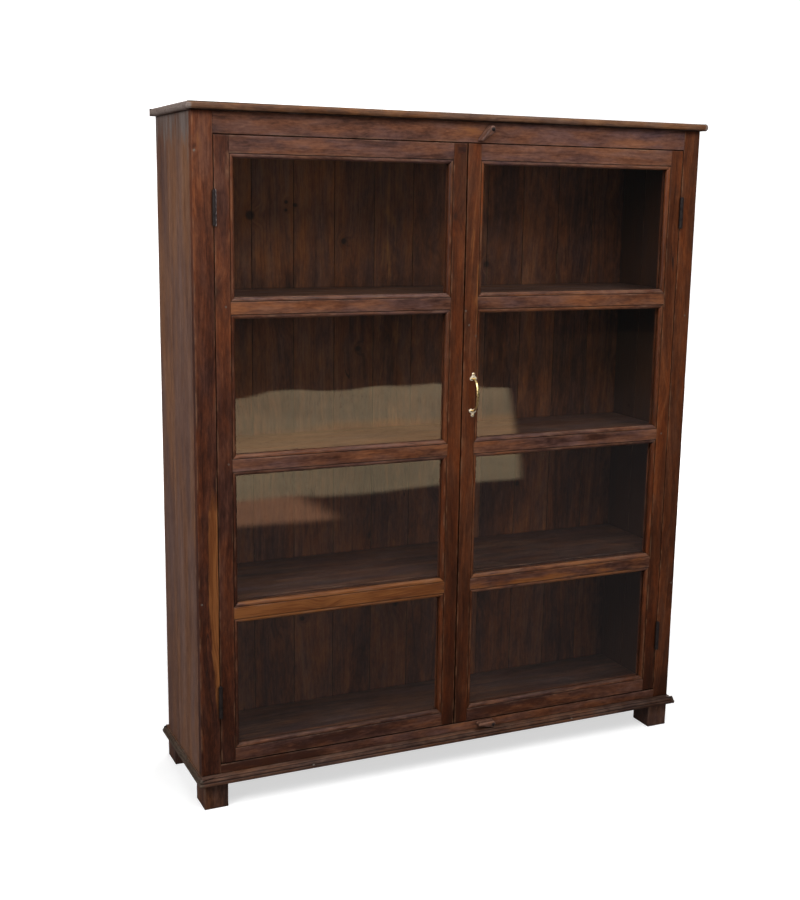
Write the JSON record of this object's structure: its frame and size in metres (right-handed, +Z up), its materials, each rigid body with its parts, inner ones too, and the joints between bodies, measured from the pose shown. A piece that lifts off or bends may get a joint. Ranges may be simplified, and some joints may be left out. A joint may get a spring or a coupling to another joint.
{
  "type": "display cabinet",
  "caption": "Tall glazed wooden display cabinet on block feet, with a pair of hinged panelled glass doors, inner shelves, turn buttons and a brass pull.",
  "frame": {"origin": "on the floor, at the middle of the cabinet's whole width and depth", "axes": "+Z up, +X to the right when facing the doors, +Y to the back"},
  "size_m": [1.3386, 0.358, 1.6],
  "materials": {
    "front_wood": "old waxed hardwood, dark reddish brown",
    "side_wood": "old waxed hardwood, greyer brown",
    "top_wood": "old waxed hardwood, worn at the edges",
    "base_wood": "old waxed hardwood, dusty",
    "back_wood": "thinly finished reddish planks",
    "shelf_wood": "thinly finished boards",
    "button_wood": "dark waxed hardwood",
    "glass": "clear float glass",
    "iron": "dark oiled iron",
    "brass": "polished, slightly tarnished brass"
  },
  "bodies": {
    "cabinet": {"top_board": "top_wood", "base_board": "base_wood", "foot_front_left": "base_wood", "foot_front_right": "base_wood", "foot_back_left": "base_wood", "foot_back_right": "base_wood", "side_board_left_front": "side_wood", "side_board_left_back": "side_wood", "side_board_right_front": "side_wood", "side_board_right_back": "side_wood", "face_stile_left": "front_wood", "face_stile_right": "front_wood", "face_rail_top": "front_wood", "face_rail_bottom": "front_wood", "floor_board": "shelf_wood", "shelf_lower": "shelf_wood", "shelf_middle": "shelf_wood", "shelf_upper": "shelf_wood", "shelf_cleats": "shelf_wood", "back_planks": "back_wood", "hinge_frame_leaves_left": "iron", "hinge_frame_leaves_right": "iron", "hinge_pins": "iron", "hinge_screws_frame": "iron", "turn_button_screws": "iron"},
    "door_left": {"door_left_hinge_stile": "front_wood", "door_left_meeting_stile": "front_wood", "door_left_top_rail": "front_wood", "door_left_upper_rail": "front_wood", "door_left_middle_rail": "front_wood", "door_left_lower_rail": "front_wood", "door_left_bottom_rail": "front_wood", "door_left_glass_1": "glass", "door_left_glass_2": "glass", "door_left_glass_3": "glass", "door_left_glass_4": "glass", "door_left_glazing_beads": "front_wood", "door_left_hinge_leaves": "iron", "door_left_hinge_screws": "iron"},
    "door_right": {"door_right_hinge_stile": "front_wood", "door_right_meeting_stile": "front_wood", "door_right_top_rail": "front_wood", "door_right_upper_rail": "front_wood", "door_right_middle_rail": "front_wood", "door_right_lower_rail": "front_wood", "door_right_bottom_rail": "front_wood", "door_right_glass_1": "glass", "door_right_glass_2": "glass", "door_right_glass_3": "glass", "door_right_glass_4": "glass", "door_right_glazing_beads": "front_wood", "door_right_hinge_leaves": "iron", "door_right_hinge_screws": "iron", "door_pull": "brass", "door_pull_screws": "brass"},
    "turn_button_top": {"turn_button_top": "button_wood"},
    "turn_button_bottom": {"turn_button_bottom": "button_wood"}
  },
  "joints": [
    {"name": "door_left_hinge", "type": "hinge", "parent": "cabinet", "child": "door_left", "pos_m": [-0.60825, -0.1538, 0.82], "axis": [0, 0, -1], "range_deg": [0, 170]},
    {"name": "door_right_hinge", "type": "hinge", "parent": "cabinet", "child": "door_right", "pos_m": [0.60825, -0.1538, 0.82], "axis": [0, 0, 1], "range_deg": [0, 170]},
    {"name": "turn_button_top_pivot", "type": "hinge", "parent": "cabinet", "child": "turn_button_top", "pos_m": [0.056, -0.1578, 1.566], "axis": [0, -1, 0], "range_deg": [-42, 138]},
    {"name": "turn_button_bottom_pivot", "type": "hinge", "parent": "cabinet", "child": "turn_button_bottom", "pos_m": [0.104, -0.1578, 0.093], "axis": [0, 1, 0], "range_deg": [-5, 175]}
  ]
}
